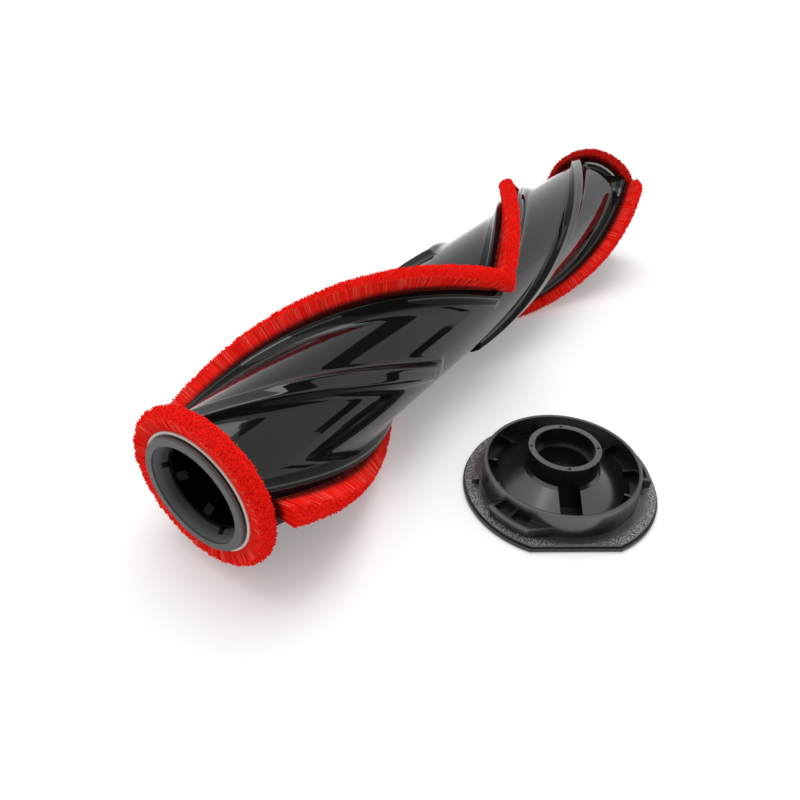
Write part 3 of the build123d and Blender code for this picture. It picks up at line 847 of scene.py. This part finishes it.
def ring_pile(name, middle, root_tip, crest_tip, seed):
    """Pile of an end ring."""
    rng = np.random.default_rng(seed)
    turn = rng.uniform(0, math.tau, RING_BRISTLES)
    share = rng.uniform(-1, 1, RING_BRISTLES)
    lean = tuft_lean(turn * RING_TIP, share * RING_TIP_HALF, seed)
    scatter = rng.normal(0, TIP_SCATTER, (RING_BRISTLES, 2))
    length = rng.gamma(2.0, LENGTH_SCATTER, RING_BRISTLES)
    length -= STRAY_LENGTH * (rng.uniform(0, 1, RING_BRISTLES) < STRAY_SHARE)
    zero = np.zeros(RING_BRISTLES)
    roots = on_roller(middle + share * RING_ROOT_HALF, zero, RING_ROOT + zero, turn)
    tip_x = middle + RING_LEAN + share * RING_TIP_HALF + lean[:, 1] + scatter[:, 1]
    tip_out = crest(share, RING_SHOULDER, RING_TIP) + LENGTH_OVER - length
    tips = on_roller(tip_x, lean[:, 0] + scatter[:, 0], tip_out, turn)
    core = Shell()
    outline = [
        (-RING_ROOT_HALF + RING_CORE_FOOT, RING_ROOT),
        (RING_ROOT_HALF - RING_CORE_FOOT, RING_ROOT),
        (RING_LEAN + RING_TIP_HALF - CORE_SIDE, RING_SHOULDER - RING_CORE_SIDE_DROP),
        (RING_LEAN + RING_CORE_HALF, RING_TIP - RING_CORE_TOP_DROP),
        (RING_LEAN - RING_CORE_HALF, RING_TIP - RING_CORE_TOP_DROP),
        (RING_LEAN + CORE_SIDE - RING_TIP_HALF, RING_SHOULDER - RING_CORE_SIDE_DROP),
    ]
    loops = [core.loop(ring_points(middle + x, radius)) for x, radius in outline]
    core.skin(loops + loops[:1])
    upper = np.array(CORE_TIPS) * crest_tip
    core_tip = np.repeat([root_tip, root_tip, *upper], len(loops[0]))
    pile_piece(name, core, core_tip, roots, tips, (root_tip, crest_tip), share, rng)


# %% Grow the strips and the rings
for place, offset, seed in (("top", 0.0, 11), ("bottom", 180.0, 23)):
    strip_pile(f"near_{place}_strip_bristles", STRIP_NEAR_X, MITRE_X, offset, seed)
    strip_pile(f"far_{place}_strip_bristles", MITRE_X, STRIP_FAR_X, offset, seed + 1)
ring_pile("near_ring_bristles", NEAR_RING_X, root_tip=0.5, crest_tip=1.0, seed=37)
# Painted shade: the far ring's lower tip values give it a darker red.
ring_pile("far_ring_bristles", FAR_RING_X, root_tip=0.2, crest_tip=0.5, seed=41)

# %% [markdown]
# ## Studio
#
# The photo has a white sweep and one large overhead light. The world and the lamp together light a white
# card to about its own colour. The background is white to the eye and to reflections, and the floor keeps
# the soft shadow. A polished black tube shows little but the room, and in a room that is white all round it
# would look grey, so photographers put black cards beside such a thing. Three cards give the tube its dark
# slots. They are seen in reflections alone, and take no light from the floor.

# %% Floor, world and lamps
FLOOR_SIZE = 12.0
AMBIENT = 0.62
FLOOR_WHITE = 0.9
FLOOR_LIFT = 0.2
LAMP_PLACE = (0.5, 0.3, 2.4)
LAMP_TARGET = (0.1, -0.02, 0.0)
LAMP_SIDE = 1.8
LAMP_POWER = 30.0
CARD_FOOT = floor_z + 0.005
CARDS = {
    "front_card": ((-2.0, -0.9), (0.4, -0.9), CARD_FOOT, 0.9),
    "corner_card": ((0.5, -0.69), (0.69, -0.535), CARD_FOOT, 0.12),
    "high_card": ((1.1, -0.45), (1.1, 0.05), 0.85, 1.9),
}


def seen_directly(graph):
    """1 for the camera's rays and those of reflections and glass, else 0."""
    labels = ("Is Camera Ray", "Is Glossy Ray", "Is Transmission Ray")
    seen = [graph.node("ShaderNodeLightPath", output=label) for label in labels]
    total = seen[0] + seen[1] + seen[2]
    return total.math("MINIMUM", total, 1.0)


def make_floor():
    """White floor that takes a shadow."""
    mesh = bpy.data.meshes.new("floor")
    half = FLOOR_SIZE / 2
    plan = [(-half, -half), (half, -half), (half, half), (-half, half)]
    mesh.from_pydata([(x, y, floor_z) for x, y in plan], [], [(0, 1, 2, 3)])
    made = bpy.data.objects.new("floor", mesh)
    bpy.context.scene.collection.objects.link(made)
    finish = Finish("white_sweep")
    lift = (FLOOR_LIFT, FLOOR_LIFT, FLOOR_LIFT, 1)
    finish.surface(
        base_color=(FLOOR_WHITE, FLOOR_WHITE, FLOOR_WHITE, 1),
        roughness=0.9,
        specular_ior_level=0.0,
        emission_color=finish.blend(seen_directly(finish), (0, 0, 0, 1), lift),
        emission_strength=1.0,
    )
    paint(made, finish.material)


def make_world():
    """Even light from all round, white where it is seen."""
    world = bpy.data.worlds.new("studio")
    world.use_nodes = True
    bpy.context.scene.world = world
    graph = Graph(world.node_tree)
    graph.tree.nodes.remove(graph.tree.nodes["Background"])
    white = (1, 1, 1, 1)
    dim = graph.node("ShaderNodeBackground", None, {"Color": white, "Strength": AMBIENT})
    full = graph.node("ShaderNodeBackground", None, {"Color": white, "Strength": 1.0})
    both = graph.node("ShaderNodeMixShader", None, {0: seen_directly(graph), 1: dim, 2: full})
    graph.feed(graph.tree.nodes["World Output"].inputs["Surface"], both)


def make_lamp(name, place, target, side, power):
    """A soft square lamp that faces a target."""
    lamp = bpy.data.lights.new(name, "AREA")
    lamp.shape = "SQUARE"
    lamp.size = side
    lamp.energy = power
    made = bpy.data.objects.new(name, lamp)
    made.location = place
    made.rotation_mode = "QUATERNION"
    made.rotation_quaternion = (Vector(target) - Vector(place)).to_track_quat("-Z", "Y")
    bpy.context.scene.collection.objects.link(made)


def dark_card(name, start, end, low, top):
    """Upright black card of the studio, seen only in reflections."""
    mesh = bpy.data.meshes.new(name)
    mesh.from_pydata([(*start, low), (*end, low), (*end, top), (*start, top)], [], [(0, 1, 2, 3)])
    made = bpy.data.objects.new(name, mesh)
    bpy.context.scene.collection.objects.link(made)
    finish = Finish(name)
    black = (0.01, 0.01, 0.01, 1)
    paint(made, finish.surface(base_color=black, roughness=1.0, specular_ior_level=0.0))
    made.visible_camera = False
    made.visible_diffuse = False
    made.visible_shadow = False


make_floor()
make_world()
make_lamp("overhead", LAMP_PLACE, LAMP_TARGET, LAMP_SIDE, LAMP_POWER)
for name, (start, end, low, top) in CARDS.items():
    dark_card(name, start, end, low, top)
bpy.context.scene.view_settings.view_transform = "Standard"
print("studio with", len(CARDS), "dark cards")
